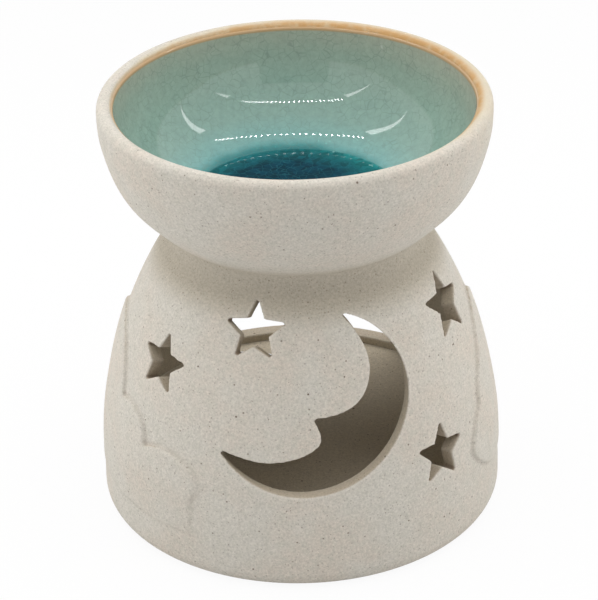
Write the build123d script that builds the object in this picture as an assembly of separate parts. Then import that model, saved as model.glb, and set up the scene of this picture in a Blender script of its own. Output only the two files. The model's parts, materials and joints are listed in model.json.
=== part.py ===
from build123d import *
import math
import os

# Stoneware oil burner: a hollow dome with a moon and four stars cut through its wall,
# a wide doorway at the back for a tealight, and a shallow glazed bowl on its neck.
# Lengths are in millimetres. The foot stands on Z = 0, the axis is Z, and the moon faces -Y.

# Dome, with a flat heel to stand on inside its rounded foot
base_radius = 60.5
base_round = 5.0
heel_width = 5.5
dome_height = 89.5
neck_radius = 37.0
dome_wall = 4.8

# Chamber floor, raised inside the dome over a hollow foot
foot_hollow = 14.0
floor_thickness = 3.8

# Moon, punched along one straight line through the wall, from its lowest point
# up to a band of wall that is left below the neck
moon_bottom = 30.5
moon_band = 7.6
moon_azimuth = 12.0
moon_tilt = 7.0

# Stars
star_reach = 9.55
star_corner_round = 0.2

# Doorway at the back, with a low lip above the floor and a band of wall left above its arch
doorway_width = 64.0
doorway_lip = 2.8
doorway_band = 13.5
doorway_corner_round = 4.0

# Clouds in low relief
cloud_rise = 1.05

# Bowl
bowl_radius = 57.0
bowl_height = 40.5
rim_thickness = 4.6
bowl_floor_thickness = 4.4
bowl_underside_recess = 1.3

# Glaze coat inside the bowl, and the glass melted into its bottom
glaze_thickness = 0.6
glass_depth = 2.2

# Tealight, which stands to the left of the axis
tealight_azimuth = -103.2
tealight_wall_gap = 19.5
cup_radius = 18.75
cup_height = 14.5
cup_wall = 0.35
cup_curl_radius = 0.5
cup_base_round = 1.2
wax_below_rim = 2.0
wax_dip = 0.6
sustainer_radius = 7.5
sustainer_thickness = 0.3
sustainer_tube_wall = 0.6
sustainer_tube_height = 5.0
wick_radius = 0.9
wick_above_wax = 4.5

# Every cut runs past the faces it goes through by this much
overrun = 2.0

# How many points an offset line is drawn through, and how often a height is halved in on
offset_points = 13
search_steps = 40

# Dome outline from the top of the foot's rounding to the neck:
# shares of the way from neck radius to base radius, and of the way from rounding to neck height
dome_shares = [
    (1.000, 0.000),
    (0.983, 0.130),
    (0.868, 0.387),
    (0.617, 0.660),
    (0.323, 0.846),
    (0.153, 0.921),
    (0.000, 1.000),
]

# Outside of the bowl from the neck to the rim:
# shares of the way from neck radius to bowl radius, and of the bowl's height less the rim's rounding
bowl_outer_shares = [
    (0.000, 0.000),
    (0.140, 0.092),
    (0.370, 0.200),
    (0.630, 0.345),
    (0.855, 0.566),
    (0.970, 0.785),
    (1.000, 1.000),
]

# Inside of the bowl from its middle to the rim:
# shares of the inner radius, and of the depth less the rim's rounding
bowl_inner_shares = [
    (0.000, 0.000),
    (0.330, 0.008),
    (0.563, 0.065),
    (0.706, 0.148),
    (0.830, 0.283),
    (0.922, 0.471),
    (0.977, 0.702),
    (1.000, 1.000),
]

# Moon outline in shares of its width, right and up from the point where the punch meets the wall
moon_height_share = 0.940
moon_low_share = -0.393
moon_tip_share = (0.048, 0.547)
moon_tail_share = (-0.613, -0.143)
moon_outer_shares = [(0.291, 0.391), (0.389, 0.127), (0.302, -0.145), (-0.044, -0.376), (-0.333, -0.376)]
moon_upper_lobe_shares = [(0.143, 0.418), (0.182, 0.268), (0.118, 0.109), (-0.033, 0.042)]
moon_cusp_share = (-0.142, 0.040)
moon_lower_lobe_shares = [(-0.113, -0.031), (-0.109, -0.095), (-0.149, -0.136), (-0.276, -0.186), (-0.400, -0.198),
                          (-0.516, -0.176)]

# Stars: degrees round from the front, degrees of turn, shares of the dome's height and of the reach
star_points = 5
star_azimuths = [-51.1, -16.5, 66.0, 44.8]
star_turns = [1.2, -2.7, 8.5, 4.7]
star_height_shares = [0.682, 0.858, 0.799, 0.380]
star_reach_shares = [1.01, 0.99, 1.14, 1.03]
star_inner_share = 0.455

# The doorway's arch rises by this share of the doorway's height
arch_rise_share = 0.587

# Clouds seen from the side: shares of base radius towards the front, and of dome height.
# Each lobe is an arc given by the point it passes and the point it ends at.
left_cloud_start_share = (-0.579, 0.156)
left_cloud_lobe_shares = [
    ((-0.595, 0.270), (-0.579, 0.335)),
    ((-0.530, 0.450), (-0.360, 0.475)),
    ((0.002, 0.697), (0.363, 0.490)),
    ((0.537, 0.473), (0.590, 0.388)),
    ((0.765, 0.404), (0.826, 0.279)),
    ((0.834, 0.220), (0.831, 0.156)),
]
right_cloud_start_share = (-0.562, 0.190)
right_cloud_lobe_shares = [
    ((-0.575, 0.270), (-0.550, 0.330)),
    ((-0.500, 0.400), (-0.425, 0.425)),
    ((-0.380, 0.510), (-0.298, 0.564)),
    ((-0.190, 0.655), (-0.020, 0.735)),
    ((0.135, 0.675), (0.250, 0.577)),
    ((0.345, 0.507), (0.385, 0.435)),
    ((0.467, 0.377), (0.515, 0.305)),
    ((0.440, 0.238), (0.231, 0.190)),
]
# The clouds rise from the wall over this band of the dome's height, from this share of their full rise
cloud_fade_shares = (0.12, 0.30)
cloud_fade_start_share = 0.25
cloud_skin_shares = [0.12, 0.21, 0.30, 0.45, 0.60, 0.75, 0.88]

# Sizes that follow from the ones above
floor_top = foot_hollow + floor_thickness
doorway_sill = floor_top + doorway_lip
heel_radius = base_radius - base_round - heel_width
bowl_bottom = dome_height + bowl_underside_recess + bowl_floor_thickness
rim_centre_height = dome_height + bowl_height - rim_thickness / 2
chamber_radius = base_radius - dome_wall
cup_side_radius = cup_radius - cup_curl_radius


def profile_point(radius, height):
    """A point of an outline that is turned about the axis."""
    return Vector(radius, 0, height)


def turned(*edges):
    """The solid that closed outline edges make when turned about the axis."""
    return revolve(make_face(list(edges)), axis=Axis.Z)


def quarter_round(centre, radius, start_angle, end_angle):
    """An arc of an outline about a centre, its angles measured up from level."""
    angles = [math.radians(angle) for angle in (start_angle, (start_angle + end_angle) / 2, end_angle)]
    points = [centre + profile_point(radius * math.cos(angle), radius * math.sin(angle)) for angle in angles]
    return ThreePointArc(*points)


def dome_line():
    """The outside of the dome, from the foot's rounding up to the neck."""
    rise = dome_height - base_round
    points = [
        profile_point(neck_radius + across * (base_radius - neck_radius), base_round + up * rise)
        for across, up in dome_shares
    ]
    return Spline(*points, tangents=[(0, 0, 1), (0, 0, 1)])


def beside(line, distance):
    """A smooth line that stays a steady distance outside another one."""
    points = []
    for step in range(offset_points):
        share = step / (offset_points - 1)
        along = line % share
        points.append(line @ share + Vector(along.Z, 0, -along.X) * distance)
    return Spline(*points, tangents=[line % 0, line % 1])


def dome_at(height):
    """Radius of the dome at a height, and how far its surface leans back there, in degrees."""
    line = dome_line()
    low, high = 0.0, 1.0
    for _ in range(search_steps):
        middle = (low + high) / 2
        if (line @ middle).Z < height:
            low = middle
        else:
            high = middle
    along = line % low
    return (line @ low).X, math.degrees(math.atan2(-along.X, along.Z))


def wall_plane(azimuth, height, tilt=None):
    """A plane on the dome's surface that faces out, with its Y axis up the wall."""
    radius, lean = dome_at(height)
    tilt = lean if tilt is None else tilt
    turn, lift = math.radians(azimuth), math.radians(tilt)
    out = Vector(math.sin(turn), -math.cos(turn), 0)
    across = Vector(math.cos(turn), math.sin(turn), 0)
    facing = out * math.cos(lift) + Vector(0, 0, math.sin(lift))
    return Plane(origin=out * radius + Vector(0, 0, height), x_dir=across, z_dir=facing)


def dome_solid():
    """The dome's outside, filled."""
    outside = dome_line()
    foot_radius = base_radius - base_round
    return turned(
        Line(profile_point(0, 0), profile_point(foot_radius, 0)),
        quarter_round(profile_point(foot_radius, base_round), base_round, -90, 0),
        outside,
        Line(outside @ 1, profile_point(0, dome_height)),
        Line(profile_point(0, dome_height), profile_point(0, 0)),
    )


def chamber_solid():
    """The space inside the dome, from the ground to the neck, filled. It narrows to the heel at the foot."""
    wall = beside(dome_line(), -dome_wall)
    below = -overrun
    return turned(
        Line(profile_point(0, below), profile_point(heel_radius, below)),
        Line(profile_point(heel_radius, below), profile_point(heel_radius, 0)),
        Line(profile_point(heel_radius, 0), wall @ 0),
        wall,
        Line(wall @ 1, profile_point(0, dome_height)),
        Line(profile_point(0, dome_height), profile_point(0, below)),
    )


def dome_body():
    """The hollow dome on its heel, before its windows and doorway are cut."""
    return dome_solid() - chamber_solid()


def moon_punch():
    """The moon with a cloud in front of it, as a straight punch through the front wall."""
    upright = math.cos(math.radians(moon_tilt))
    moon_width = (dome_height - moon_band - moon_bottom) / (moon_height_share * upright)
    height = moon_bottom - moon_low_share * moon_width * upright

    def placed(share):
        return Vector(share[0] * moon_width, share[1] * moon_width)

    tip, tail, cusp = placed(moon_tip_share), placed(moon_tail_share), placed(moon_cusp_share)
    outline = make_face([
        Spline(tip, *[placed(share) for share in moon_outer_shares], tail),
        Spline(tip, *[placed(share) for share in moon_upper_lobe_shares], cusp),
        Spline(cusp, *[placed(share) for share in moon_lower_lobe_shares], tail),
    ])
    return extrude(wall_plane(moon_azimuth, height, moon_tilt) * outline, amount=moon_width / 2, both=True)


def star_punch(azimuth, turn, height_share, reach_share):
    """One star, punched square to the wall."""
    reach = star_reach * reach_share
    corners = []
    for corner in range(2 * star_points):
        angle = math.radians(90 - turn) + corner * math.pi / star_points
        radius = reach if corner % 2 == 0 else reach * star_inner_share
        corners.append((radius * math.cos(angle), radius * math.sin(angle)))
    outline = make_face(Polyline(*corners, close=True))
    outline = fillet(outline.vertices(), star_corner_round)
    plane = wall_plane(azimuth, height_share * dome_height)
    return extrude(plane * outline, amount=dome_wall + overrun, both=True)


def doorway_punch():
    """The arched doorway at the back, level through the wall."""
    half = doorway_width / 2
    top = dome_height - doorway_band
    spring = top - arch_rise_share * (top - doorway_sill)
    opening = Polyline((-half, spring), (-half, doorway_sill), (half, doorway_sill), (half, spring))
    arch = ThreePointArc((half, spring), (0, top), (-half, spring))
    outline = make_face([*opening.edges(), arch])
    sill_corners = outline.vertices().filter_by(lambda corner: corner.Y < spring - doorway_corner_round)
    outline = fillet(sill_corners, doorway_corner_round)
    back = Plane(origin=(0, 0, 0), x_dir=(1, 0, 0), z_dir=(0, -1, 0))
    return extrude(back * outline, amount=-(base_radius + overrun))


def pierced(body):
    """A body with the moon, the stars and the doorway cut through it."""
    body = body - doorway_punch() - moon_punch()
    for star in zip(star_azimuths, star_turns, star_height_shares, star_reach_shares):
        body -= star_punch(*star)
    return body


def cloud_skin():
    """The dome's surface raised by the height of the clouds, which fade out towards the foot."""
    outside = dome_line()
    fade_low, fade_high = [share * dome_height for share in cloud_fade_shares]
    points = []
    for share in cloud_skin_shares:
        height = share * dome_height
        blend = min(1, (height - fade_low) / (fade_high - fade_low))
        rise = cloud_rise * (cloud_fade_start_share + blend * (1 - cloud_fade_start_share))
        radius, lean = dome_at(height)
        lean = math.radians(lean)
        points.append(profile_point(radius + rise * math.cos(lean), height + rise * math.sin(lean)))
    skin = Spline(*points)
    return turned(
        skin,
        Line(skin @ 1, profile_point(0, (skin @ 1).Z)),
        Line(profile_point(0, (skin @ 1).Z), profile_point(0, (skin @ 0).Z)),
        Line(profile_point(0, (skin @ 0).Z), skin @ 0),
    ) - dome_solid()


def cloud(azimuth, towards_front, start_share, lobe_shares):
    """A cloud in low relief on one side of the dome, with a scalloped edge."""
    def placed(share):
        return Vector(share[0] * base_radius * towards_front, share[1] * dome_height)

    start = placed(start_share)
    edges = []
    here = start
    for passed, end in lobe_shares:
        edges.append(ThreePointArc(here, placed(passed), placed(end)))
        here = placed(end)
    edges.append(Line(here, start))
    turn = math.radians(azimuth)
    side = Plane(
        origin=(0, 0, 0),
        x_dir=(math.cos(turn), math.sin(turn), 0),
        z_dir=(math.sin(turn), -math.cos(turn), 0),
    )
    return cloud_skin() & extrude(side * make_face(edges), amount=base_radius + overrun)


def bowl_inside(lift=0.0):
    """The inside of the bowl from its middle to the rim, or a surface that lies above it by a thickness."""
    inner_radius = bowl_radius - rim_thickness
    points = [
        profile_point(across * inner_radius, bowl_bottom + up * (rim_centre_height - bowl_bottom))
        for across, up in bowl_inner_shares
    ]
    line = Spline(*points, tangents=[(1, 0, 0), (0, 0, 1)])
    return line if lift == 0 else beside(line, -lift)


def bowl_outside():
    """The outside of the bowl from the neck to the rim."""
    rise = rim_centre_height - dome_height
    points = [
        profile_point(neck_radius + across * (bowl_radius - neck_radius), dome_height + up * rise)
        for across, up in bowl_outer_shares
    ]
    return Spline(*points, tangents=[(0, 0, 1), (0, 0, 1)])


def oil_bowl():
    """The bowl, with a shallow recess under it that is the ceiling of the chamber."""
    outside = bowl_outside()
    inside = bowl_inside()
    rim_centre = profile_point(bowl_radius - rim_thickness / 2, rim_centre_height)
    neck_inner = neck_radius - dome_wall
    ceiling = dome_height + bowl_underside_recess
    return turned(
        inside,
        quarter_round(rim_centre, rim_thickness / 2, 0, 180),
        outside,
        Line(outside @ 0, profile_point(neck_inner, dome_height)),
        Line(profile_point(neck_inner, dome_height), profile_point(neck_inner, ceiling)),
        Line(profile_point(neck_inner, ceiling), profile_point(0, ceiling)),
        Line(profile_point(0, ceiling), inside @ 0),
    )


def bowl_glaze():
    """The glaze coat that lines the bowl up to its rim."""
    under = bowl_inside()
    top = bowl_inside(glaze_thickness)
    edge = ThreePointArc(top @ 1, (top @ 1 + under @ 1) / 2 + profile_point(0, glaze_thickness / 2), under @ 1)
    return turned(under, edge, top, Line(top @ 0, under @ 0))


def glass_pool():
    """The glass in the bottom of the bowl, level on top."""
    top = bowl_inside(glaze_thickness)
    level = (top @ 0).Z + glass_depth
    under = turned(
        top,
        Line(top @ 1, profile_point(0, (top @ 1).Z)),
        Line(profile_point(0, (top @ 1).Z), top @ 0),
    )
    slab = Pos(0, 0, level - bowl_height / 2) * Cylinder(bowl_radius, bowl_height)
    return under & slab


def base_floor():
    """The floor of the chamber, which meets the wall all round."""
    slab = Pos(0, 0, foot_hollow + floor_thickness / 2) * Cylinder(base_radius, floor_thickness)
    return chamber_solid() & slab


def tealight_place():
    """Where the tealight stands on the chamber's floor."""
    turn = math.radians(tealight_azimuth)
    distance = chamber_radius - tealight_wall_gap - cup_radius
    return Pos(distance * math.sin(turn), -distance * math.cos(turn), floor_top)


def tealight_cup():
    """The tealight's drawn metal cup with a curled lip."""
    outer = cup_side_radius
    inner = outer - cup_wall
    inner_round = cup_base_round - cup_wall
    lip = cup_height - cup_curl_radius
    corner = profile_point(outer - cup_base_round, cup_base_round)
    body = turned(
        Line(profile_point(0, 0), profile_point(outer - cup_base_round, 0)),
        quarter_round(corner, cup_base_round, -90, 0),
        Line(profile_point(outer, cup_base_round), profile_point(outer, lip)),
        Line(profile_point(outer, lip), profile_point(inner, lip)),
        Line(profile_point(inner, lip), profile_point(inner, cup_base_round)),
        quarter_round(corner, inner_round, -90, 0),
        Line(profile_point(outer - cup_base_round, cup_wall), profile_point(0, cup_wall)),
        Line(profile_point(0, cup_wall), profile_point(0, 0)),
    )
    curl = Pos(0, 0, lip) * Torus(outer, cup_curl_radius)
    return tealight_place() * (body + curl)


def sustainer_shape():
    """The disc and tube that hold the wick's foot, standing on the bottom of the cup."""
    tube_radius = wick_radius + sustainer_tube_wall
    disc = Pos(0, 0, cup_wall + sustainer_thickness / 2) * Cylinder(sustainer_radius, sustainer_thickness)
    tube = Pos(0, 0, cup_wall + sustainer_tube_height / 2) * Cylinder(tube_radius, sustainer_tube_height)
    return disc + tube


def wick_shape():
    """The wick, from the sustainer's disc to its tip above the wax."""
    foot = cup_wall + sustainer_thickness
    top = cup_height - wax_below_rim + wick_above_wax
    return Pos(0, 0, (foot + top) / 2) * Cylinder(wick_radius, top - foot)


def wick_sustainer():
    """The sustainer with the bore that grips the wick."""
    return tealight_place() * (sustainer_shape() - wick_shape())


def tealight_wick():
    """The wick with its tip rounded over."""
    wick = wick_shape()
    return tealight_place() * fillet(wick.edges().sort_by(Axis.Z)[-1], wick_radius / 2)


def tealight_wax():
    """The wax, dipped in the middle, cast round the wick and its foot."""
    outer = cup_side_radius - cup_wall
    inner_round = cup_base_round - cup_wall
    top = cup_height - wax_below_rim
    corner = profile_point(outer - inner_round, cup_base_round)
    edge = profile_point(outer, top)
    middle = profile_point(0, top - wax_dip)
    surface = Spline(middle, edge, tangents=[(1, 0, 0), (1, 0, 1)])
    cast = turned(
        Line(profile_point(0, cup_wall), profile_point(outer - inner_round, cup_wall)),
        quarter_round(corner, inner_round, -90, 0),
        Line(profile_point(outer, cup_base_round), edge),
        surface,
        Line(middle, profile_point(0, cup_wall)),
    )
    return tealight_place() * (cast - sustainer_shape() - wick_shape())


def main():
    os.makedirs("parts", exist_ok=True)
    pieces = {
        "lantern_shell": pierced(dome_body()),
        "base_floor": base_floor(),
        "left_cloud": pierced(cloud(-90, 1, left_cloud_start_share, left_cloud_lobe_shares)),
        "right_cloud": pierced(cloud(90, -1, right_cloud_start_share, right_cloud_lobe_shares)),
        "oil_bowl": oil_bowl(),
        "bowl_glaze": bowl_glaze(),
        "glass_pool": glass_pool(),
        "tealight_cup": tealight_cup(),
        "tealight_wax": tealight_wax(),
        "wick_sustainer": wick_sustainer(),
        "tealight_wick": tealight_wick(),
    }
    for name, piece in pieces.items():
        export_step(piece, f"parts/{name}.step")
        print(name, "solids", len(piece.solids()), "volume", round(piece.volume, 1))


main()
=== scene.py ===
import json
import math
import bpy
from mathutils import Matrix, Vector

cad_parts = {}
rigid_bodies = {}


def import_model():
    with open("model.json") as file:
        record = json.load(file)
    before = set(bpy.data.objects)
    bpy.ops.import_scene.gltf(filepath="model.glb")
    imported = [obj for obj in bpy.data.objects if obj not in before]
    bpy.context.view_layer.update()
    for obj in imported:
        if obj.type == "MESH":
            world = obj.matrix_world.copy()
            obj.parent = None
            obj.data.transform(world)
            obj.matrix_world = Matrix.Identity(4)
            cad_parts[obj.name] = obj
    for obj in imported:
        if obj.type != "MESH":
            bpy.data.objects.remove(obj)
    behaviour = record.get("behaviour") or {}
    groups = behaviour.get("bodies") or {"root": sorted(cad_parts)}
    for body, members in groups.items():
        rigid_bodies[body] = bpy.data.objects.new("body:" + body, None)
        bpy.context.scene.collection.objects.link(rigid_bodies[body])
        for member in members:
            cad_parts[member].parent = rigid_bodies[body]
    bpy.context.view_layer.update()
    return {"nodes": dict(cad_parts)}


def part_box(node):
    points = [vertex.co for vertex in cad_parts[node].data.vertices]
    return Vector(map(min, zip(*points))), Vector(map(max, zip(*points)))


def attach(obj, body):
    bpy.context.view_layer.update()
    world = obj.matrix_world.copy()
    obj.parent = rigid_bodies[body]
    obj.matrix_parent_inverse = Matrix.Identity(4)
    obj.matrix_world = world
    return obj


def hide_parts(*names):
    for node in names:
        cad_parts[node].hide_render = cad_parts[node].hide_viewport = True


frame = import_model()
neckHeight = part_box("oil_bowl")[0].z
print("stage: frame loaded")

millimetre = 0.001


def startAfresh():
    if bpy.context.object and bpy.context.object.mode != "OBJECT":
        bpy.ops.object.mode_set(mode="OBJECT")
    bpy.ops.object.select_all(action="DESELECT")


def applyAll(piece):
    startAfresh()
    bpy.context.view_layer.objects.active = piece
    piece.select_set(True)
    for modifier in list(piece.modifiers):
        bpy.ops.object.modifier_apply(modifier=modifier.name)


def shadeSmooth(piece, angle):
    startAfresh()
    bpy.context.view_layer.objects.active = piece
    piece.select_set(True)
    bpy.ops.object.shade_smooth_by_angle(angle=math.radians(angle))


def dress(piece, body, nodes, material):
    # place in the mesh, one material, and the body it moves with
    startAfresh()
    bpy.context.view_layer.objects.active = piece
    piece.select_set(True)
    bpy.ops.object.transform_apply(location=True, rotation=True, scale=True)
    piece.data.materials.clear()
    piece.data.materials.append(material)
    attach(piece, body)
    if nodes:
        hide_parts(*nodes)


def smoothLine(points, steps):
    # a smooth curve through (radius, height) points, with the given steps between each two
    line = []
    spread = [points[0], *points, points[-1]]
    for before, start, end, after in zip(spread, spread[1:], spread[2:], spread[3:]):
        for step in range(steps):
            share = step / steps
            line.append(tuple(
                b + 0.5 * share * (c - a + share * (2 * a - 5 * b + 4 * c - d
                                                    + share * (3 * (b - c) + d - a)))
                for a, b, c, d in zip(before, start, end, after)))
    return [*line, points[-1]]


def liftedLine(line, lifts):
    # the same line moved towards the axis and up, by its own thickness at each point
    lifted = []
    for number, ((radius, height), lift) in enumerate(zip(line, lifts)):
        before = line[max(number - 1, 0)]
        after = line[min(number + 1, len(line) - 1)]
        along = Vector((after[0] - before[0], after[1] - before[1])).normalized()
        lifted.append((radius - along.y * lift, height + along.x * lift))
    return lifted


def growRings(name, outline, sides):
    # a turned shape: a circle is extruded ring by ring along (radius, height) points
    startAfresh()
    firstRadius, firstHeight = outline[0]
    bpy.ops.mesh.primitive_circle_add(vertices=sides, radius=firstRadius, fill_type="NOTHING",
                                      location=(0, 0, firstHeight))
    piece = bpy.context.object
    piece.name = name
    bpy.ops.object.transform_apply(location=True)
    bpy.ops.object.mode_set(mode="EDIT")
    bpy.ops.mesh.select_all(action="SELECT")
    for (radius, height), (lastRadius, lastHeight) in zip(outline[1:], outline):
        bpy.ops.mesh.extrude_region_move(TRANSFORM_OT_translate={"value": (0, 0, height - lastHeight)})
        grow = radius / lastRadius
        bpy.ops.transform.resize(value=(grow, grow, 1), center_override=(0, 0, height))
    # both ends are closed in the middle
    bpy.ops.mesh.merge(type="CENTER")
    bpy.ops.mesh.select_all(action="DESELECT")
    bpy.ops.mesh.select_non_manifold()
    bpy.ops.mesh.merge(type="CENTER")
    bpy.ops.mesh.select_all(action="SELECT")
    bpy.ops.mesh.normals_make_consistent(inside=False)
    bpy.ops.object.mode_set(mode="OBJECT")
    return piece


def copyOf(nodes, name):
    # one merged mesh from copies of the CAD nodes
    startAfresh()
    for node in nodes:
        frame["nodes"][node].select_set(True)
    bpy.context.view_layer.objects.active = frame["nodes"][nodes[0]]
    bpy.ops.object.duplicate()
    if len(nodes) > 1:
        bpy.ops.object.join()
    piece = bpy.context.object
    piece.name = name
    bpy.ops.object.parent_clear(type="CLEAR_KEEP_TRANSFORM")
    bpy.ops.object.transform_apply(location=True, rotation=True, scale=True)
    bpy.ops.object.mode_set(mode="EDIT")
    bpy.ops.mesh.select_all(action="SELECT")
    bpy.ops.mesh.remove_doubles(threshold=1e-6)
    bpy.ops.object.mode_set(mode="OBJECT")
    return piece


def newMaterial(name):
    material = bpy.data.materials.new(name)
    material.use_nodes = True
    nodes, links = material.node_tree.nodes, material.node_tree.links
    shader = nodes["Principled BSDF"]
    place = nodes.new("ShaderNodeTexCoord")
    return material, nodes, links, shader, place.outputs["Object"]


def noiseOf(nodes, links, where, scale, detail=3.0, roughness=0.5):
    noise = nodes.new("ShaderNodeTexNoise")
    noise.inputs["Scale"].default_value = scale
    noise.inputs["Detail"].default_value = detail
    noise.inputs["Roughness"].default_value = roughness
    links.new(where, noise.inputs["Vector"])
    return noise.outputs["Fac"]


def rangeOf(nodes, links, value, fromLow, fromHigh, toLow=0.0, toHigh=1.0, smooth=True):
    spread = nodes.new("ShaderNodeMapRange")
    spread.interpolation_type = "SMOOTHSTEP" if smooth else "LINEAR"
    spread.inputs["From Min"].default_value = fromLow
    spread.inputs["From Max"].default_value = fromHigh
    spread.inputs["To Min"].default_value = toLow
    spread.inputs["To Max"].default_value = toHigh
    links.new(value, spread.inputs["Value"])
    return spread.outputs["Result"]


def mathOf(nodes, links, operation, first, second=None):
    step = nodes.new("ShaderNodeMath")
    step.operation = operation
    for socket, value in zip(step.inputs, (first, second)):
        if value is None:
            continue
        if isinstance(value, (int, float)):
            socket.default_value = value
        else:
            links.new(value, socket)
    return step.outputs[0]


def productOf(nodes, links, first, *others):
    product = first
    for other in others:
        product = mathOf(nodes, links, "MULTIPLY", product, other)
    return product


def scaled(nodes, links, colour, share):
    scale = nodes.new("ShaderNodeVectorMath")
    scale.operation = "SCALE"
    links.new(colour, scale.inputs[0])
    links.new(share, scale.inputs["Scale"])
    return scale.outputs[0]


def bumpOf(nodes, links, height, distance, strength, under=None):
    # a bump, on top of another one where one is given
    bump = nodes.new("ShaderNodeBump")
    bump.inputs["Distance"].default_value = distance
    bump.inputs["Strength"].default_value = strength
    links.new(height, bump.inputs["Height"])
    if under is not None:
        links.new(under, bump.inputs["Normal"])
    return bump.outputs["Normal"]


def mixColours(nodes, links, share, first, second):
    mixer = nodes.new("ShaderNodeMix")
    mixer.data_type = "RGBA"
    factor, colourA, colourB = mixer.inputs[0], mixer.inputs[6], mixer.inputs[7]
    for socket, value in ((factor, share), (colourA, first), (colourB, second)):
        if isinstance(value, (int, float)):
            socket.default_value = value
        elif isinstance(value, tuple):
            socket.default_value = (*value, 1.0)
        else:
            links.new(value, socket)
    return mixer.outputs[2]


def paint(red, green, blue):
    # a colour as it looks on screen, 0 to 255, made linear for a shader
    def linear(level):
        level /= 255
        return level / 12.92 if level <= 0.04045 else ((level + 0.055) / 1.055) ** 2.4
    return (linear(red), linear(green), linear(blue))


def radiusAndHeight(nodes, links, where):
    split = nodes.new("ShaderNodeSeparateXYZ")
    links.new(where, split.inputs[0])
    across, along, height = split.outputs
    squareSum = mathOf(nodes, links, "ADD", productOf(nodes, links, across, across),
                       productOf(nodes, links, along, along))
    return mathOf(nodes, links, "SQRT", squareSum), height


def shiftedFrom(nodes, links, where, middle):
    moved = nodes.new("ShaderNodeVectorMath")
    moved.operation = "SUBTRACT"
    links.new(where, moved.inputs[0])
    moved.inputs[1].default_value = middle
    return moved.outputs[0]


stonewareLook = {
    "clay": paint(200, 195, 185),
    "clayWarm": paint(201, 192, 180),
    "mottle": paint(192, 188, 176),
    "fleck": paint(96, 80, 66),
    # painted shade for inside corners, such as round the clouds, where the glaze also pools browner
    "paintedCreaseShade": paint(138, 122, 108),
    # painted highlight, paler over outside edges
    "lip": paint(216, 209, 198),
    "rawClay": paint(194, 183, 163),
    "cutClay": paint(180, 168, 150),
    # painted shade under the bowl, at the neck
    "paintedNeckShade": paint(180, 172, 157),
    "toast": paint(184, 150, 108),
    "toastDeep": paint(188, 145, 92),
    "cream": paint(201, 188, 162),
    "iron": paint(92, 84, 78),
    "ironSpot": Vector((0.0545, -0.0190, 0.0505)),
    # cell, share of cells with a fleck, its largest radius in cells, weakest and strongest tint
    "flecks": [(0.75 * millimetre, 0.75, 0.36, 0.14, 0.50), (1.5 * millimetre, 0.50, 0.24, 0.30, 0.75),
               (3.6 * millimetre, 0.55, 0.125, 0.6, 1.0)],
    "grain": (0.77, 1.21),
    # the way to the most toasted side, where the glaze's edge lies, and the line's least and largest width
    "toastSide": Vector((0.72, 0.69, 0)),
    "toastEdge": 0.0526,
    "toastLine": (0.5 * millimetre, 1.7 * millimetre),
    "rimTop": (0.1262, 0.1276),
    "spill": (0.1165, 0.1270),
    # heights between which a finish fades in or out
    "chamberTop": (0.0878, 0.0888),
    "footTop": (0.010, 0.014),
    "heelTop": (0.0003, 0.0014),
    "neckStart": (0.0755, 0.0835),
    "neckEnd": (0.0905, 0.0995),
    "lipReach": 1.0 * millimetre,
    "creaseShadeReach": 1.2 * millimetre,
    "jointReach": (0.0012, 0.0020),
    "roughness": 0.72,
    "shine": 0.3,
}


def facingOut(nodes, links, where, radius):
    # 1 on faces that look away from the pot's axis, 0 on cut faces and -1 on faces that look at it
    level = nodes.new("ShaderNodeVectorMath")
    level.operation = "MULTIPLY"
    links.new(where, level.inputs[0])
    level.inputs[1].default_value = (1, 1, 0)
    shape = nodes.new("ShaderNodeTexCoord")
    product = nodes.new("ShaderNodeVectorMath")
    product.operation = "DOT_PRODUCT"
    links.new(shape.outputs["Normal"], product.inputs[0])
    links.new(level.outputs[0], product.inputs[1])
    return mathOf(nodes, links, "DIVIDE", product.outputs["Value"], radius)


def edgesOf(nodes, links, outward, reach, low, high, strongest):
    # outside corners, or else inside corners, that are no wider than the given reach
    near = nodes.new("ShaderNodeAmbientOcclusion")
    near.only_local = True
    near.inside = outward
    near.samples = 6
    near.inputs["Distance"].default_value = reach
    return rangeOf(nodes, links, near.outputs["AO"], low, high, strongest, 0.0)


def flecksOf(nodes, links, where, flecks):
    # some cells of a scatter hold a dot of their own size and strength
    strongest = None
    for cell, share, size, weak, strong in flecks:
        scatter = nodes.new("ShaderNodeTexVoronoi")
        scatter.inputs["Scale"].default_value = 1 / cell
        links.new(where, scatter.inputs["Vector"])
        pick = nodes.new("ShaderNodeSeparateColor")
        links.new(scatter.outputs["Color"], pick.inputs[0])
        held = mathOf(nodes, links, "GREATER_THAN", pick.outputs[0], 1 - share)
        reach = mathOf(nodes, links, "MULTIPLY", pick.outputs[1], size * 0.5)
        inside = mathOf(nodes, links, "SUBTRACT", mathOf(nodes, links, "ADD", reach, size * 0.5),
                        scatter.outputs["Distance"])
        tint = rangeOf(nodes, links, pick.outputs[2], 0, 1, weak, strong, False)
        dot = productOf(nodes, links, rangeOf(nodes, links, inside, 0.0, size * 0.5), held, tint)
        strongest = dot if strongest is None else mathOf(nodes, links, "MAXIMUM", strongest, dot)
    return strongest


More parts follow.
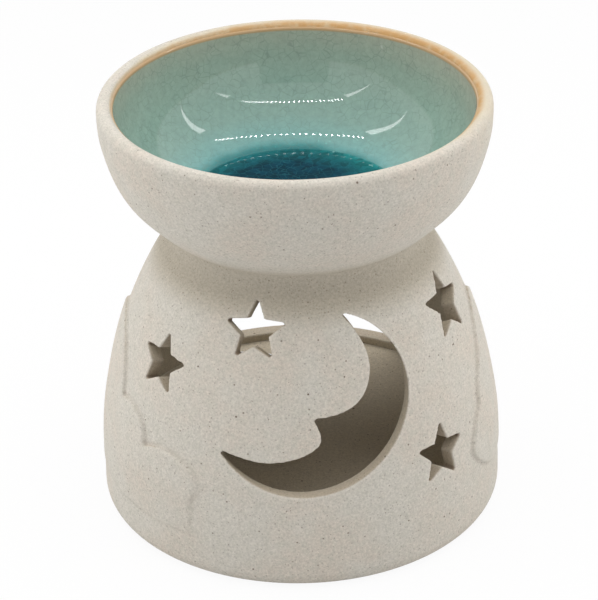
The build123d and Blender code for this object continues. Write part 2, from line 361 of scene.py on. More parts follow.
def rimToast(nodes, links, where, radius, height, colour):
    # a toasted line along the glaze's edge and a cream wash over the rim, most at the back on the right
    look = stonewareLook
    side = nodes.new("ShaderNodeVectorMath")
    side.operation = "DOT_PRODUCT"
    links.new(where, side.inputs[0])
    side.inputs[1].default_value = look["toastSide"]
    turned = mathOf(nodes, links, "DIVIDE", side.outputs["Value"], radius)
    wander = rangeOf(nodes, links, noiseOf(nodes, links, where, 130, 3), 0.3, 0.7, -0.18, 0.18, False)
    turned = mathOf(nodes, links, "ADD", turned, wander)
    # how far out over the rim's shoulder from the glaze's edge
    out = mathOf(nodes, links, "SUBTRACT", radius, look["toastEdge"])
    high = rangeOf(nodes, links, height, *look["rimTop"])
    spread = rangeOf(nodes, links, turned, -0.6, 0.9, 0.6, 4.2)
    washed = mathOf(nodes, links, "DIVIDE", out, productOf(nodes, links, spread, millimetre))
    wash = productOf(nodes, links, rangeOf(nodes, links, washed, 0.0, 1.3, 1.0, 0.0), high, 0.85)
    colour = mixColours(nodes, links, wash, colour, look["cream"])
    spilled = productOf(nodes, links, rangeOf(nodes, links, height, *look["spill"]),
                        rangeOf(nodes, links, turned, 0.1, 0.95, 0.0, 0.5))
    colour = mixColours(nodes, links, spilled, colour, look["cream"])
    thin, wide = look["toastLine"]
    width = rangeOf(nodes, links, turned, -0.2, 0.8, thin, wide)
    line = rangeOf(nodes, links, mathOf(nodes, links, "DIVIDE", out, width), 0.2, 1.5, 1.0, 0.0)
    blotched = rangeOf(nodes, links, noiseOf(nodes, links, where, 330, 4, 0.6), 0.30, 0.62, 0.55, 1.0)
    strength = rangeOf(nodes, links, turned, -0.9, 0.4, 0.5, 1.0)
    deep = rangeOf(nodes, links, turned, 0.1, 0.8, 0.0, 0.8)
    toast = mixColours(nodes, links, deep, look["toast"], look["toastDeep"])
    return mixColours(nodes, links, productOf(nodes, links, line, high, blotched, strength), colour, toast)


def stoneware(name, raw):
    look = stonewareLook
    material, nodes, links, shader, where = newMaterial(name)
    radius, height = radiusAndHeight(nodes, links, where)
    facing = facingOut(nodes, links, where, radius)
    cloudy = rangeOf(nodes, links, noiseOf(nodes, links, where, 60, 3), 0.35, 0.68)
    colour = mixColours(nodes, links, cloudy, look["clay"], look["clayWarm"])
    mottled = rangeOf(nodes, links, noiseOf(nodes, links, where, 420, 4, 0.65), 0.42, 0.66, 0.0, 0.6)
    colour = mixColours(nodes, links, mottled, colour, look["mottle"])
    # the chamber, its floor, the heel and the cut faces were never glazed
    below = rangeOf(nodes, links, height, *look["chamberTop"], 1.0, 0.0)
    lifted = rangeOf(nodes, links, height, *look["footTop"])
    cut = productOf(nodes, links, rangeOf(nodes, links, facing, 0.28, 0.48, 1.0, 0.0), below, lifted)
    colour = mixColours(nodes, links, cut, colour, look["cutClay"])
    inside = productOf(nodes, links, rangeOf(nodes, links, facing, -0.5, 0.1, 1.0, 0.0), below)
    heel = rangeOf(nodes, links, height, *look["heelTop"], 1.0, 0.0)
    bare = 1.0 if raw else mathOf(nodes, links, "MAXIMUM", inside, heel)
    colour = mixColours(nodes, links, bare, colour, look["rawClay"])
    # painted shade under the bowl at the neck: the clay is painted a little darker and browner there
    neckShadeMask = productOf(nodes, links, rangeOf(nodes, links, height, *look["neckStart"]),
                       rangeOf(nodes, links, height, *look["neckEnd"], 1.0, 0.0),
                       rangeOf(nodes, links, facing, 0.1, 0.5))
    colour = mixColours(nodes, links, neckShadeMask, colour, look["paintedNeckShade"])
    # fine grain of the glaze over the clay
    grain = noiseOf(nodes, links, where, 1500, 3, 0.75)
    colour = scaled(nodes, links, colour, rangeOf(nodes, links, grain, 0.25, 0.75, *look["grain"], False))
    flecks = flecksOf(nodes, links, where, look["flecks"])
    colour = mixColours(nodes, links, flecks, colour, look["fleck"])
    # one iron spot that has melted through on the right
    away = nodes.new("ShaderNodeVectorMath")
    away.operation = "DISTANCE"
    links.new(where, away.inputs[0])
    away.inputs[1].default_value = look["ironSpot"]
    spot = rangeOf(nodes, links, away.outputs["Value"], 0.0005, 0.0021, 0.75, 0.0)
    colour = mixColours(nodes, links, spot, colour, look["iron"])
    # painted highlight: paler over outside edges; painted shade in the corners round the clouds, where the
    # glaze also pools browner
    lip = edgesOf(nodes, links, True, look["lipReach"], 0.66, 0.93, 0.65)
    # the joint between dome and bowl is no edge
    fromJoint = mathOf(nodes, links, "ABSOLUTE", mathOf(nodes, links, "SUBTRACT", height, neckHeight))
    lip = productOf(nodes, links, lip, rangeOf(nodes, links, fromJoint, *look["jointReach"]))
    colour = mixColours(nodes, links, lip, colour, look["lip"])
    # painted shade in inside corners, such as round the clouds
    paintedCreaseShade = edgesOf(nodes, links, False, look["creaseShadeReach"], 0.72, 0.97, 0.85)
    colour = mixColours(nodes, links, paintedCreaseShade, colour, look["paintedCreaseShade"])
    colour = rimToast(nodes, links, where, radius, height, colour)
    links.new(colour, shader.inputs["Base Color"])
    shader.inputs["Roughness"].default_value = look["roughness"]
    shader.inputs["Specular IOR Level"].default_value = look["shine"]
    # grain and pits, over the slow waves left by throwing
    fine = noiseOf(nodes, links, where, 1000, 4, 0.65)
    pitted = mathOf(nodes, links, "SUBTRACT", fine, productOf(nodes, links, flecks, 0.5))
    waves = bumpOf(nodes, links, noiseOf(nodes, links, where, 60, 1), 0.6 * millimetre, 0.25)
    links.new(bumpOf(nodes, links, pitted, 0.16 * millimetre, 0.6, waves), shader.inputs["Normal"])
    return material


def crackLines(nodes, links, where, cell, width, sway):
    # thin lines between cells of about the given size
    bent = nodes.new("ShaderNodeTexNoise")
    bent.inputs["Scale"].default_value = 0.7 / cell
    links.new(where, bent.inputs["Vector"])
    shift = nodes.new("ShaderNodeVectorMath")
    shift.operation = "MULTIPLY_ADD"
    links.new(bent.outputs["Color"], shift.inputs[0])
    shift.inputs[1].default_value = (cell * sway,) * 3
    links.new(where, shift.inputs[2])
    cells = nodes.new("ShaderNodeTexVoronoi")
    cells.feature = "DISTANCE_TO_EDGE"
    cells.inputs["Scale"].default_value = 1 / cell
    links.new(shift.outputs[0], cells.inputs["Vector"])
    return rangeOf(nodes, links, cells.outputs["Distance"], 0.0, width / cell, 1.0, 0.0)


def colourRamp(nodes, links, value, low, high, stops):
    ramp = nodes.new("ShaderNodeValToRGB")
    links.new(rangeOf(nodes, links, value, low, high, smooth=False), ramp.inputs[0])
    for element, (position, colour) in zip(ramp.color_ramp.elements, (stops[0], stops[-1])):
        element.position = position
        element.color = (*colour, 1)
    for position, colour in stops[1:-1]:
        ramp.color_ramp.elements.new(position).color = (*colour, 1)
    return ramp.outputs[0]


# the colours lie a little to one side of the bowl's axis
colourMiddle = Vector((-0.0020, 0.0034, 0))

glazeLook = {
    # colours by radius plus height above the bottom, in shares of this span
    "bottom": 0.0958,
    "low": 0.0270, "high": 0.0870,
    "stops": [(0.0, paint(18, 104, 106)), (0.05, paint(25, 112, 114)), (0.072, paint(52, 128, 128)),
              (0.105, paint(94, 150, 148)), (0.14, paint(113, 160, 156)), (0.24, paint(124, 162, 155)),
              (0.34, paint(131, 162, 152)), (0.50, paint(137, 165, 153)), (0.62, paint(147, 171, 158)),
              (0.76, paint(152, 170, 156)), (0.90, paint(165, 170, 154)), (1.0, paint(178, 169, 152))],
    # the thin bead on the rim is toasted like the line beside it
    "bead": paint(184, 148, 104),
    "beadFrom": 0.1274, "beadTo": 0.1280,
    "crack": paint(92, 116, 104),
    "crackTint": 0.30,
    "crackCell": 2.5 * millimetre,
    "crackWidth": 0.18 * millimetre,
    "crackSway": 0.5,
    "fleck": paint(96, 104, 84),
    "flecks": [(2.6 * millimetre, 0.30, 0.10, 0.15, 0.5)],
    "roughness": 0.02,
    "shine": 0.4,
}


def celadonGlaze():
    look = glazeLook
    material, nodes, links, shader, where = newMaterial("celadon_glaze")
    radius, height = radiusAndHeight(nodes, links, shiftedFrom(nodes, links, where, colourMiddle))
    wander = rangeOf(nodes, links, noiseOf(nodes, links, where, 120, 4), 0.3, 0.7, -0.0009, 0.0009, False)
    along = mathOf(nodes, links, "ADD", mathOf(nodes, links, "ADD", radius, height), wander)
    colour = colourRamp(nodes, links, along, look["bottom"] + look["low"], look["bottom"] + look["high"],
                        look["stops"])
    cloudy = noiseOf(nodes, links, where, 520, 5, 0.72)
    colour = scaled(nodes, links, colour, rangeOf(nodes, links, cloudy, 0.3, 0.7, 0.90, 1.10, False))
    # crackle, fainter in some places than in others
    cracks = crackLines(nodes, links, where, look["crackCell"], look["crackWidth"], look["crackSway"])
    faint = rangeOf(nodes, links, noiseOf(nodes, links, where, 160, 2), 0.35, 0.65, 0.3, 1.0)
    cracks = productOf(nodes, links, cracks, faint, look["crackTint"])
    colour = mixColours(nodes, links, cracks, colour, look["crack"])
    flecks = flecksOf(nodes, links, where, look["flecks"])
    colour = mixColours(nodes, links, flecks, colour, look["fleck"])
    bead = rangeOf(nodes, links, height, look["beadFrom"], look["beadTo"], 0.0, 0.9)
    colour = mixColours(nodes, links, bead, colour, look["bead"])
    links.new(colour, shader.inputs["Base Color"])
    shader.inputs["Roughness"].default_value = look["roughness"]
    shader.inputs["Specular IOR Level"].default_value = look["shine"]
    waves = noiseOf(nodes, links, where, 90, 1)
    links.new(bumpOf(nodes, links, waves, 0.5 * millimetre, 0.06), shader.inputs["Normal"])
    return material


poolLook = {
    "edge": 0.0310,
    "stops": [(0.0, paint(2, 46, 62)), (0.58, paint(3, 49, 66)), (0.70, paint(11, 73, 83)),
              (0.80, paint(14, 86, 92)), (0.89, paint(19, 99, 101)), (0.94, paint(32, 116, 116)),
              (1.0, paint(64, 136, 135))],
    "crack": paint(40, 112, 124),
    "crackTint": 0.30,
    "crackCell": 2.3 * millimetre,
    "crackWidth": 0.12 * millimetre,
    "crackSway": 0.5,
    # painted glints along the glass's edge
    "paintedGlints": paint(150, 196, 192),
    "glintReach": (0.0272, 0.0290),
    "roughness": 0.05,
    "shine": 0.13,
}


def tealGlass():
    look = poolLook
    material, nodes, links, shader, where = newMaterial("teal_glass")
    radius = radiusAndHeight(nodes, links, shiftedFrom(nodes, links, where, colourMiddle))[0]
    wander = rangeOf(nodes, links, noiseOf(nodes, links, where, 260, 3), 0.3, 0.7, -0.0010, 0.0010, False)
    reach = mathOf(nodes, links, "ADD", radius, wander)
    colour = colourRamp(nodes, links, reach, 0.0, look["edge"], look["stops"])
    # each fragment of the crackled glass has its own depth of colour
    cells = nodes.new("ShaderNodeTexVoronoi")
    cells.inputs["Scale"].default_value = 1 / look["crackCell"]
    links.new(where, cells.inputs["Vector"])
    depth = nodes.new("ShaderNodeSeparateColor")
    links.new(cells.outputs["Color"], depth.inputs[0])
    colour = scaled(nodes, links, colour, rangeOf(nodes, links, depth.outputs[0], 0, 1, 0.75, 1.35, False))
    cracks = crackLines(nodes, links, where, look["crackCell"], look["crackWidth"], look["crackSway"])
    cracks = productOf(nodes, links, cracks, look["crackTint"])
    colour = mixColours(nodes, links, cracks, colour, look["crack"])
    # painted glints: pale dots in a ring along the glass's edge
    glintDots = rangeOf(nodes, links, noiseOf(nodes, links, where, 620, 3, 0.6), 0.60, 0.70)
    rim = rangeOf(nodes, links, radius, *look["glintReach"])
    colour = mixColours(nodes, links, productOf(nodes, links, glintDots, rim), colour, look["paintedGlints"])
    links.new(colour, shader.inputs["Base Color"])
    shader.inputs["Roughness"].default_value = look["roughness"]
    shader.inputs["Specular IOR Level"].default_value = look["shine"]
    return material


metalLook = {
    "bright": (0.80, 0.80, 0.81),
    "dull": (0.62, 0.62, 0.63),
    "roughness": (0.30, 0.44),
    "drawLines": (900, 900, 45),
}


def drawnAluminium():
    # foil drawn into a cup: fine upright creases and a slightly uneven shine
    look = metalLook
    material, nodes, links, shader, where = newMaterial("drawn_aluminium")
    stretch = nodes.new("ShaderNodeMapping")
    stretch.inputs["Scale"].default_value = look["drawLines"]
    links.new(where, stretch.inputs["Vector"])
    lines = noiseOf(nodes, links, stretch.outputs[0], 1.0, 3, 0.6)
    cloudy = rangeOf(nodes, links, noiseOf(nodes, links, where, 260, 3), 0.3, 0.7)
    links.new(mixColours(nodes, links, cloudy, look["bright"], look["dull"]), shader.inputs["Base Color"])
    shader.inputs["Metallic"].default_value = 1.0
    uneven = rangeOf(nodes, links, lines, 0.3, 0.7, *look["roughness"], False)
    links.new(uneven, shader.inputs["Roughness"])
    links.new(bumpOf(nodes, links, lines, 0.1 * millimetre, 0.5), shader.inputs["Normal"])
    return material


tinLook = {
    "bright": (0.62, 0.62, 0.62),
    "worn": (0.46, 0.46, 0.47),
    "roughness": 0.36,
}


def pressedTin():
    look = tinLook
    material, nodes, links, shader, where = newMaterial("pressed_tin")
    worn = rangeOf(nodes, links, noiseOf(nodes, links, where, 700, 3), 0.35, 0.65)
    links.new(mixColours(nodes, links, worn, look["bright"], look["worn"]), shader.inputs["Base Color"])
    shader.inputs["Metallic"].default_value = 1.0
    shader.inputs["Roughness"].default_value = look["roughness"]
    return material


waxLook = {
    "white": paint(240, 237, 228),
    "cloud": paint(228, 225, 216),
    "roughness": 0.42,
    "glow": 0.12,
    "glowReach": (2.0 * millimetre, 1.6 * millimetre, 1.2 * millimetre),
}


def candleWax():
    # paraffin: pale, a little clouded, with shallow ripples from setting
    look = waxLook
    material, nodes, links, shader, where = newMaterial("candle_wax")
    cloudy = rangeOf(nodes, links, noiseOf(nodes, links, where, 320, 4, 0.55), 0.35, 0.65)
    links.new(mixColours(nodes, links, cloudy, look["white"], look["cloud"]), shader.inputs["Base Color"])
    shader.inputs["Roughness"].default_value = look["roughness"]
    shader.inputs["Subsurface Weight"].default_value = look["glow"]
    shader.inputs["Subsurface Radius"].default_value = look["glowReach"]
    shader.inputs["Subsurface Scale"].default_value = 1.0
    ripples = noiseOf(nodes, links, where, 240, 2)
    links.new(bumpOf(nodes, links, ripples, 0.3 * millimetre, 0.4), shader.inputs["Normal"])
    return material


cottonLook = {
    "shade": paint(214, 208, 192),
    "pale": paint(240, 236, 224),
    "roughness": 0.65,
}


def waxedCotton():
    look = cottonLook
    material, nodes, links, shader, where = newMaterial("waxed_cotton")
    fibres = noiseOf(nodes, links, where, 5200, 4, 0.7)
    share = rangeOf(nodes, links, fibres, 0.3, 0.7)
    links.new(mixColours(nodes, links, share, look["shade"], look["pale"]), shader.inputs["Base Color"])
    shader.inputs["Roughness"].default_value = look["roughness"]
    links.new(bumpOf(nodes, links, fibres, 0.1 * millimetre, 0.7), shader.inputs["Normal"])
    return material


stonewareSkin = stoneware("speckled_stoneware", False)
rawStoneware = stoneware("raw_stoneware", True)
bowlGlaze = celadonGlaze()
poolGlass = tealGlass()
cupMetal = drawnAluminium()
print("stage: materials made")

potShape = {
    "voxel": 0.45 * millimetre,
    "softening": 2,
    "neckSoftening": 80,
    # how far from the joint, in millimetres, and how much of the softening reaches there
    "neckBands": [(4.5, 0.25), (3.5, 0.5), (2.5, 0.75), (1.5, 1.0)],
    "trianglesKept": 0.25,
}


def biggestShell(piece):
    # the remesh leaves a few specks of air inside the wall, which go
    startAfresh()
    bpy.context.view_layer.objects.active = piece
    piece.select_set(True)
    bpy.ops.object.mode_set(mode="EDIT")
    bpy.ops.mesh.select_all(action="SELECT")
    bpy.ops.mesh.separate(type="LOOSE")
    bpy.ops.object.mode_set(mode="OBJECT")
    shells = sorted(bpy.context.selected_objects, key=lambda shell: len(shell.data.vertices))
    for speck in shells[:-1]:
        bpy.data.objects.remove(speck)
    return shells[-1]


def firedPot():
    # dome, clouds and bowl as one skin of clay, softened, then parted at the neck
    pot = copyOf(["lantern_shell", "left_cloud", "right_cloud", "oil_bowl"], "fired_pot")
    remesh = pot.modifiers.new("clay", "REMESH")
    remesh.mode = "VOXEL"
    remesh.voxel_size = potShape["voxel"]
    remesh.adaptivity = 0.0
    applyAll(pot)
    pot = biggestShell(pot)
    # the potter's sponge has run round the joint of dome and bowl
    neck = pot.vertex_groups.new(name="neck")
    for reach, share in potShape["neckBands"]:
        near = [point.index for point in pot.data.vertices
                if abs(point.co.z - neckHeight) < reach * millimetre]
        neck.add(near, share, "REPLACE")
    rounded = pot.modifiers.new("neck_rounded", "SMOOTH")
    rounded.vertex_group = neck.name
    rounded.factor = 0.5
    rounded.iterations = potShape["neckSoftening"]
    smooth = pot.modifiers.new("sponged", "SMOOTH")
    smooth.factor = 0.5
    smooth.iterations = potShape["softening"]
    if potShape["trianglesKept"] < 1:
        thin = pot.modifiers.new("thinned", "DECIMATE")
        thin.ratio = potShape["trianglesKept"]
    applyAll(pot)
    pot.vertex_groups.clear()
    return pot


def partOff(pot, name, height, keepUpper):
    startAfresh()
    bpy.context.view_layer.objects.active = pot
    pot.select_set(True)
    bpy.ops.object.duplicate()
    piece = bpy.context.object
    piece.name = name
    bpy.ops.object.mode_set(mode="EDIT")
    bpy.ops.mesh.select_all(action="SELECT")
    bpy.ops.mesh.bisect(plane_co=(0, 0, height), plane_no=(0, 0, 1), use_fill=True,
                        clear_inner=keepUpper, clear_outer=not keepUpper)
    bpy.ops.object.mode_set(mode="OBJECT")
    shadeSmooth(piece, 50)
    return piece


pot = firedPot()
lanternBody = partOff(pot, "lantern_body", neckHeight, False)
dress(lanternBody, "burner", ["lantern_shell", "left_cloud", "right_cloud"], stonewareSkin)
thrownBowl = partOff(pot, "thrown_bowl", neckHeight, True)
dress(thrownBowl, "burner", ["oil_bowl"], stonewareSkin)
bpy.data.objects.remove(pot)
print("stage: lantern body", len(lanternBody.data.polygons), "bowl", len(thrownBowl.data.polygons))

coatShape = {
    "thickness": 0.6 * millimetre,
    "bedding": 0.25 * millimetre,
    # shares of the coat's radius and of its height below the rim's rounding
    "lineShares": [(0.02, 0.0), (0.165, 0.002), (0.330, 0.008), (0.450, 0.030), (0.563, 0.065),
                   (0.706, 0.148), (0.830, 0.283), (0.922, 0.471), (0.977, 0.702), (0.994, 0.860),
                   (1.000, 1.000)],
    "steps": 4,
    "rimRadius": 2.3 * millimetre,
    "edgeAngle": 25,
    "edgeSteps": 5,
    "edgeThickness": 0.3 * millimetre,
    "edgeFade": 6 * millimetre,
    "sides": 144,
}


def bowlCoat():
    # the glaze follows the inside of the bowl and runs out in a thin bead on the rim's shoulder
    shape = coatShape
    low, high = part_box("bowl_glaze")
    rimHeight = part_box("oil_bowl")[1].z - shape["rimRadius"]
    rimMiddle = high.x + shape["rimRadius"]
    points = [(across * high.x, low.z + up * (rimHeight - low.z)) for across, up in shape["lineShares"]]
    clayLine = smoothLine(points, shape["steps"])

    def shoulder(share, lift):
        angle = math.radians(shape["edgeAngle"]) * share
        reach = shape["rimRadius"] + lift
        return (rimMiddle - reach * math.cos(angle), rimHeight + reach * math.sin(angle))

    shares = [step / shape["edgeSteps"] for step in range(1, shape["edgeSteps"])]
    bedded = [shoulder(share, -shape["bedding"]) for share in shares]
    bead = [shoulder(share, shape["edgeThickness"] * math.sqrt(1 - share ** 2))
            for share in reversed(shares)]
    thinned = shape["thickness"] - shape["edgeThickness"]
    lifts = [shape["edgeThickness"] + thinned * min((rimHeight - height) / shape["edgeFade"], 1)
             for _, height in clayLine]
    outline = [*liftedLine(clayLine, [-shape["bedding"]] * len(clayLine)), *bedded, shoulder(1, 0), *bead,
               *reversed(liftedLine(clayLine, lifts))]
    coat = growRings("glaze_coat", outline, shape["sides"])
    shadeSmooth(coat, 60)
    return coat


glazeCoat = bowlCoat()
dress(glazeCoat, "burner", ["bowl_glaze"], bowlGlaze)

poolShape = {
    # radius in shares of the pool, height from its level in millimetres
    "under": [(0.02, -2.4), (0.30, -2.4), (0.60, -2.2), (0.85, -1.3), (0.99, -0.4)],
    "top": [(1.022, 0.20), (1.010, 0.08), (0.999, 0.02), (0.988, 0.0), (0.60, 0.0), (0.30, 0.0),
            (0.02, 0.0)],
    "sides": 144,
}


def meltedGlass():
    # a level pool that creeps a little way up the glaze at its edge
    reach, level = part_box("glass_pool")[1].x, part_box("glass_pool")[1].z
    outline = [(share * reach, level + rise * millimetre)
               for share, rise in poolShape["under"] + poolShape["top"]]
    pool = growRings("melted_glass", outline, poolShape["sides"])
    shadeSmooth(pool, 50)
    return pool


glassPool = meltedGlass()
dress(glassPool, "burner", ["glass_pool"], poolGlass)
print("stage: glaze and glass")

candleLow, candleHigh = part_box("tealight_cup")
candlePlace = Vector(((candleLow.x + candleHigh.x) / 2, (candleLow.y + candleHigh.y) / 2, candleLow.z))
cupShape = {
    # (radius, height) in millimetres, up the outside, over the curl and down the inside
    "outside": [(0.4, 0.40), (12.4, 0.40), (13.0, 0.10), (13.8, 0.0), (16.9, 0.0), (17.8, 0.30),
                (18.2, 0.95), (18.25, 1.8), (18.25, 7.5), (18.25, 13.2)],
    "curl": [(18.36, 13.45), (18.62, 13.62), (18.75, 13.95), (18.66, 14.28), (18.40, 14.48),
             (18.10, 14.46), (17.92, 14.22)],
    "inside": [(17.9, 13.6), (17.9, 7.5), (17.9, 1.9), (17.75, 1.15), (17.2, 0.75), (16.5, 0.62),
               (0.4, 0.62)],
    "sides": 96,
}


def millimetres(points):
    return [(radius * millimetre, height * millimetre) for radius, height in points]


def pressedCup():
    cup = growRings("pressed_cup", millimetres(cupShape["outside"] + cupShape["curl"] + cupShape["inside"]),
                    cupShape["sides"])
    cup.location = candlePlace
    shadeSmooth(cup, 40)
    return cup


dress(pressedCup(), "tealight", ["tealight_cup"], cupMetal)

waxShape = {
    "cast": [(0.4, 0.66), (16.4, 0.68), (17.3, 0.95), (17.8, 1.6), (17.85, 6.0), (17.85, 12.4)],
    # it clings to the cup, dips as it sets and climbs the wick
    "top": [(17.8, 12.75), (17.5, 12.62), (16.6, 12.46), (13.0, 12.22), (8.0, 11.98), (4.0, 11.9),
            (2.2, 11.98), (1.5, 12.2), (1.15, 12.6), (0.5, 12.7)],
    "sides": 96,
}


def pouredWax():
    wax = growRings("poured_wax", millimetres(waxShape["cast"] + waxShape["top"]), waxShape["sides"])
    wax.location = candlePlace
    shadeSmooth(wax, 40)
    return wax


dress(pouredWax(), "tealight", ["tealight_wax"], candleWax())

wickShape = {
    "strands": 3,
    "sides": 10,
    "strandRadius": 0.46 * millimetre,
    "strandOffset": 0.44 * millimetre,
    "foot": 0.7 * millimetre,
    "rise": 0.56 * millimetre,
    "turn": 26,
    "steps": 29,
    "tipShares": [0.92, 0.74, 0.4],
    "tipRise": 0.168 * millimetre,
}


def twistedWick():
    # each strand is a ring that is raised and turned about the wick's middle, step by step
    shape = wickShape
    strands = []
    for number in range(shape["strands"]):
        startAfresh()
        turn = 2 * math.pi * number / shape["strands"]
        out = Vector((math.cos(turn), math.sin(turn), 0)) * shape["strandOffset"]
        bpy.ops.mesh.primitive_circle_add(vertices=shape["sides"], radius=shape["strandRadius"],
                                          fill_type="NGON", location=out + Vector((0, 0, shape["foot"])))
        strand = bpy.context.object
        bpy.ops.object.transform_apply(location=True)
        bpy.ops.object.mode_set(mode="EDIT")
        bpy.ops.mesh.select_all(action="SELECT")
        for step in range(shape["steps"]):
            bpy.ops.mesh.extrude_region_move(TRANSFORM_OT_translate={"value": (0, 0, shape["rise"])})
            bpy.ops.transform.rotate(value=math.radians(shape["turn"]), orient_axis="Z",
                                     center_override=(0, 0, 0))
        for share in shape["tipShares"]:
            bpy.ops.mesh.extrude_region_move(TRANSFORM_OT_translate={"value": (0, 0, shape["tipRise"])})
            bpy.ops.transform.resize(value=(share, share, 1), center_override=(0, 0, 0))
        bpy.ops.mesh.select_all(action="SELECT")
        bpy.ops.mesh.normals_make_consistent(inside=False)
        bpy.ops.object.mode_set(mode="OBJECT")
        strands.append(strand)
    startAfresh()
    for strand in strands:
        strand.select_set(True)
    bpy.context.view_layer.objects.active = strands[0]
    bpy.ops.object.join()
    wick = bpy.context.object
    wick.name = "twisted_wick"
    wick.location = candlePlace
    shadeSmooth(wick, 60)
    return wick


dress(twistedWick(), "tealight", ["tealight_wick"], waxedCotton())
print("stage: tealight")

for node, material in (("base_floor", rawStoneware), ("wick_sustainer", pressedTin())):
    kept = frame["nodes"][node]
    kept.data.materials.clear()
    kept.data.materials.append(material)

# the camera looks 29 degrees down at the moon's side, and is rolled by about a degree
cameraPlace = {
    "location": (0.00012, -0.68164, 0.44300),
    "pitch": 60.847,
    "roll": -1.138,
    "lens": 156.6,
    "sensor": 36,
    "nearest": 0.01,
}
bpy.ops.object.camera_add(location=cameraPlace["location"])
camera = bpy.context.object
camera.rotation_mode = "ZYX"
camera.rotation_euler = (math.radians(cameraPlace["pitch"]), 0, math.radians(cameraPlace["roll"]))
camera.data.lens = cameraPlace["lens"]
camera.data.sensor_width = cameraPlace["sensor"]
camera.data.clip_start = cameraPlace["nearest"]
camera.data.dof.use_dof = False
bpy.context.scene.camera = camera

lampAim = Vector((0, 0, 0.06))
mirroredAt = Vector((0, 0, 0.11))
studio = {
    "worldLevel": 0.05,
    "ceiling": {"place": (0, 0.01, 0.70), "size": (1.2, 1.2), "power": 8.0},
    "left": {"place": (-0.46, -0.02, 0.25), "size": (0.9, 0.45), "power": 1.85},
    "right": {"place": (0.46, -0.02, 0.25), "size": (0.9, 0.45), "power": 1.70},
    "front": {"place": (0, -0.80, 0.20), "size": (0.5, 0.16), "power": 0.40},
    # what the glaze mirrors: an even tent with an open front, two rows of diodes and a few strips
    "tent": 1.25,
    "opening": {"place": (0, -0.45, 0.13), "size": (0.40, 0.46), "level": 0.12},
    "diodes": {"front": {"middle": (0.013, -0.230, 0.50), "half": 0.250, "bow": -0.019, "count": 26,
                         "size": (0.0050, 0.024)},
               "back": {"middle": (0.021, 0.135, 0.50), "half": 0.163, "bow": 0.035, "count": 28,
                        "size": (0.0034, 0.013)}},
    "diodeLevel": 70.0,
    # the point, the middle of the wide end, and the width there
    "strips": {"left_low": ((0.285, -0.158, 0.25), (0.262, -0.188, 0.34), 0.026),
               "left_high": ((0.316, 0.000, 0.20), (0.241, 0.103, 0.44), 0.034),
               "right_low": ((-0.297, -0.199, 0.22), (-0.197, -0.197, 0.38), 0.026),
               "right_high": ((-0.328, 0.032, 0.29), (-0.165, 0.128, 0.48), 0.034)},
    "stripLevel": 9.0,
    "floorSize": 6,
    "floorGrey": (0.80, 0.80, 0.80, 1),
    "floorWhite": 0.93,
}


def softbox(name, place, size, power):
    bpy.ops.object.light_add(type="AREA", location=place)
    lamp = bpy.context.object
    lamp.name = name
    lamp.data.shape = "RECTANGLE"
    lamp.data.size, lamp.data.size_y = size
    lamp.data.energy = power
    lamp.rotation_euler = (lampAim - Vector(place)).to_track_quat("-Z", "Y").to_euler()
    lamp.visible_camera = False
    lamp.visible_glossy = False


def mirrored(piece, name, level):
    # something bright or dark that only a reflection shows
    piece.name = name
    paintOf = bpy.data.materials.new(name)
    paintOf.use_nodes = True
    paintNodes = paintOf.node_tree.nodes
    paintNodes.remove(paintNodes["Principled BSDF"])
    shine = paintNodes.new("ShaderNodeEmission")
    shine.inputs["Strength"].default_value = level
    paintOf.node_tree.links.new(shine.outputs[0], paintNodes["Material Output"].inputs["Surface"])
    paintOf.cycles.emission_sampling = "NONE"
    piece.data.materials.append(paintOf)
    piece.visible_camera = False
    piece.visible_diffuse = False
    piece.visible_shadow = False


for name in ("ceiling", "left", "right", "front"):
    softbox(name, studio[name]["place"], studio[name]["size"], studio[name]["power"])

opening = studio["opening"]
bpy.ops.mesh.primitive_plane_add(size=1, location=opening["place"], rotation=(math.radians(90), 0, 0))
bpy.context.object.scale = (*opening["size"], 1)
mirrored(bpy.context.object, "tent_opening", opening["level"])

for row, setting in studio["diodes"].items():
    across, along, height = setting["middle"]
    diodes = []
    for number in range(setting["count"]):
        share = 2 * number / (setting["count"] - 1) - 1
        place = (across + share * setting["half"], along + setting["bow"] * share ** 2, height)
        bpy.ops.mesh.primitive_plane_add(size=1, location=place)
        bpy.context.object.scale = (*setting["size"], 1)
        diodes.append(bpy.context.object)
    for diode in diodes:
        diode.select_set(True)
    bpy.ops.object.join()
    mirrored(bpy.context.object, f"diodes_{row}", studio["diodeLevel"])

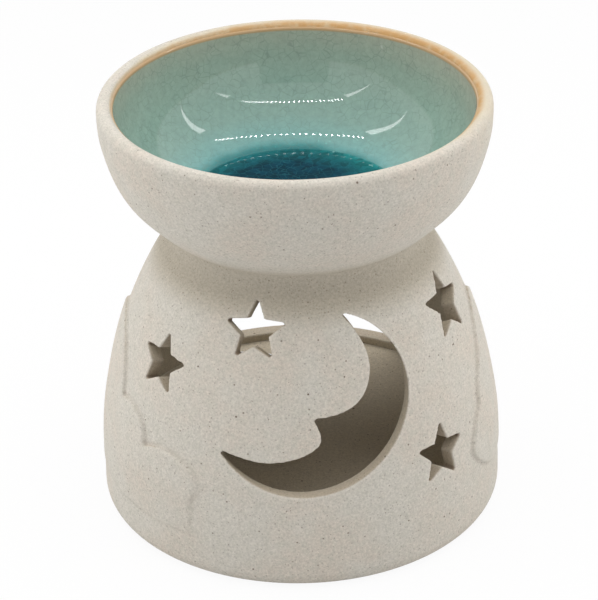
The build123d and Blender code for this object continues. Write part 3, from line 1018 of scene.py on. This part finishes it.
for name, (point, foot, width) in studio["strips"].items():
    along = Vector(point) - Vector(foot)
    middle = Vector(foot) + along / 3
    # a triangle that is turned to face the bowl
    across = (mirroredAt - middle).cross(along).normalized()
    up = along.cross(across).normalized()
    turned = Matrix((across, along.normalized(), -up)).transposed().to_4x4()
    bpy.ops.mesh.primitive_circle_add(vertices=3, radius=1, fill_type="NGON")
    strip = bpy.context.object
    strip.matrix_world = Matrix.Translation(middle) @ turned
    strip.scale = (width / math.sqrt(3), along.length / 1.5, 1)
    mirrored(strip, f"strip_{name}", studio["stripLevel"])

bpy.ops.mesh.primitive_plane_add(size=studio["floorSize"], location=(0, 0, 0))
table = bpy.context.object
table.name = "studio_floor"
floorPaint = bpy.data.materials.new("studio_white")
floorPaint.use_nodes = True
floorNodes, floorLinks = floorPaint.node_tree.nodes, floorPaint.node_tree.links
matt = floorNodes["Principled BSDF"]
matt.inputs["Base Color"].default_value = studio["floorGrey"]
matt.inputs["Roughness"].default_value = 1.0
matt.inputs["Specular IOR Level"].default_value = 0.0
glow = floorNodes.new("ShaderNodeEmission")
path = floorNodes.new("ShaderNodeLightPath")
blend = floorNodes.new("ShaderNodeMixShader")
# the camera sees it nearly white, with the shadow of the object
seen = mathOf(floorNodes, floorLinks, "MULTIPLY", path.outputs["Is Camera Ray"], studio["floorWhite"])
floorLinks.new(seen, blend.inputs[0])
floorLinks.new(matt.outputs[0], blend.inputs[1])
floorLinks.new(glow.outputs[0], blend.inputs[2])
floorLinks.new(blend.outputs[0], floorNodes["Material Output"].inputs["Surface"])
table.data.materials.append(floorPaint)

world = bpy.data.worlds.new("studio")
bpy.context.scene.world = world
world.use_nodes = True
worldNodes, worldLinks = world.node_tree.nodes, world.node_tree.links
sky = worldNodes["Background"]
sky.inputs["Color"].default_value = (1, 1, 1, 1)
# faint for the light on the object, white for the camera, and the tent for what is mirrored
worldPath = worldNodes.new("ShaderNodeLightPath")
level = rangeOf(worldNodes, worldLinks, worldPath.outputs["Is Glossy Ray"], 0, 1, studio["worldLevel"],
                studio["tent"], False)
seen = rangeOf(worldNodes, worldLinks, worldPath.outputs["Is Camera Ray"], 0, 1, 0, 1, False)
worldLinks.new(mathOf(worldNodes, worldLinks, "MAXIMUM", level, seen), sky.inputs["Strength"])
bpy.context.scene.view_settings.view_transform = "Standard"
print("stage: studio")
